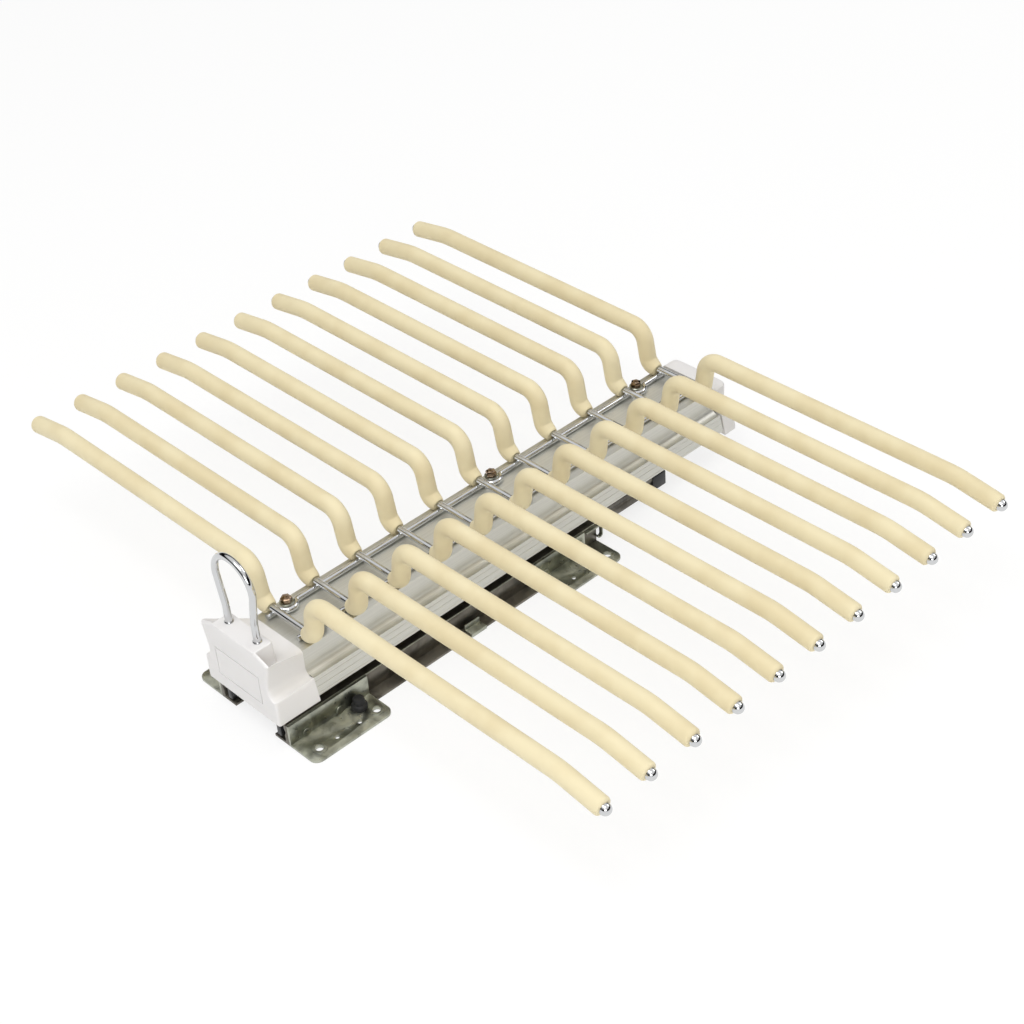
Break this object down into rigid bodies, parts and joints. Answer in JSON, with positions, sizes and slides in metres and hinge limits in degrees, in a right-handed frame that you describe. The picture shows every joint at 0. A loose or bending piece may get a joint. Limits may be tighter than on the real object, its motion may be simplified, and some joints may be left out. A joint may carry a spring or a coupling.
{
  "type": "pull out trouser rack",
  "caption": "Sliding trouser rack: sleeved arms on a bent-wire ladder over an aluminium beam with end caps and a pull handle, on a ball-bearing slide with side brackets.",
  "frame": {"origin": "centre of the mounting face between the brackets' undersides, under the middle row of arms", "axes": "+Z away from the mounting face towards the arms, -Y the pull-out direction with the handle at the front, +X to the right seen from the handle; the rack is stored as the picture shows it, standing on its mounting face, and in a wardrobe it is turned over and screwed under a shelf"},
  "size_m": [0.4724, 0.3583, 0.1104],
  "materials": {
    "cream_sleeve": "matte soft-touch cream sleeve",
    "chromed_steel": "bright chrome",
    "satin_aluminium": "satin anodised, drawn along its length",
    "white_plastic": "fine satin off-white",
    "zinc_steel": "zinc plated",
    "rail_steel": "dark zinc plated",
    "bronzed_steel": "bronze plated",
    "black_plastic": "satin black",
    "black_rubber": "matte black"
  },
  "bodies": {
    "mount_frame": {"fixed_rail": "rail_steel", "front_bracket_left": "zinc_steel", "front_bracket_right": "zinc_steel", "rear_bracket_left": "zinc_steel", "rear_bracket_right": "zinc_steel", "bracket_rivets": "zinc_steel", "rubber_stops": "black_rubber", "rail_clips": "zinc_steel"},
    "middle_slide": {"middle_rail": "rail_steel", "middle_rail_buffers": "black_plastic"},
    "outer_cage": {"outer_ball_cage": "zinc_steel", "outer_balls": "chromed_steel"},
    "inner_cage": {"inner_ball_cage": "zinc_steel", "inner_balls": "chromed_steel"},
    "rack": {"arm_rod_01": "chromed_steel", "arm_rod_02": "chromed_steel", "arm_rod_03": "chromed_steel", "arm_rod_04": "chromed_steel", "arm_rod_05": "chromed_steel", "arm_rod_06": "chromed_steel", "arm_rod_07": "chromed_steel", "arm_rod_08": "chromed_steel", "arm_rod_09": "chromed_steel", "arm_rod_10": "chromed_steel", "arm_rod_11": "chromed_steel", "sleeve_left_01": "cream_sleeve", "sleeve_left_02": "cream_sleeve", "sleeve_left_03": "cream_sleeve", "sleeve_left_04": "cream_sleeve", "sleeve_left_05": "cream_sleeve", "sleeve_left_06": "cream_sleeve", "sleeve_left_07": "cream_sleeve", "sleeve_left_08": "cream_sleeve", "sleeve_left_09": "cream_sleeve", "sleeve_left_10": "cream_sleeve", "sleeve_left_11": "cream_sleeve", "sleeve_right_01": "cream_sleeve", "sleeve_right_02": "cream_sleeve", "sleeve_right_03": "cream_sleeve", "sleeve_right_04": "cream_sleeve", "sleeve_right_05": "cream_sleeve", "sleeve_right_06": "cream_sleeve", "sleeve_right_07": "cream_sleeve", "sleeve_right_08": "cream_sleeve", "sleeve_right_09": "cream_sleeve", "sleeve_right_10": "cream_sleeve", "sleeve_right_11": "cream_sleeve", "tip_caps": "chromed_steel", "side_wire_left": "chromed_steel", "side_wire_right": "chromed_steel", "clamp_screws": "bronzed_steel", "clamp_washers": "zinc_steel", "beam": "satin_aluminium", "front_cap": "white_plastic", "rear_cap": "white_plastic", "pull_handle": "chromed_steel", "handle_nuts": "zinc_steel", "inner_rail": "rail_steel", "beam_rivets": "zinc_steel"}
  },
  "joints": [
    {"name": "rack_pull_out", "type": "slide", "parent": "mount_frame", "child": "rack", "axis": [0, -1, 0], "range_m": [0, 0.28]},
    {"name": "middle_rail_slide", "type": "slide", "parent": "mount_frame", "child": "middle_slide", "axis": [0, -1, 0], "range_m": [0, 0.14]},
    {"name": "outer_cage_slide", "type": "slide", "parent": "mount_frame", "child": "outer_cage", "axis": [0, -1, 0], "range_m": [0, 0.07]},
    {"name": "inner_cage_slide", "type": "slide", "parent": "mount_frame", "child": "inner_cage", "axis": [0, -1, 0], "range_m": [0, 0.21]}
  ],
  "couplings": [
    {"joint": "middle_rail_slide", "follows": "rack_pull_out", "ratio": 0.5},
    {"joint": "outer_cage_slide", "follows": "rack_pull_out", "ratio": 0.25},
    {"joint": "inner_cage_slide", "follows": "rack_pull_out", "ratio": 0.75}
  ]
}
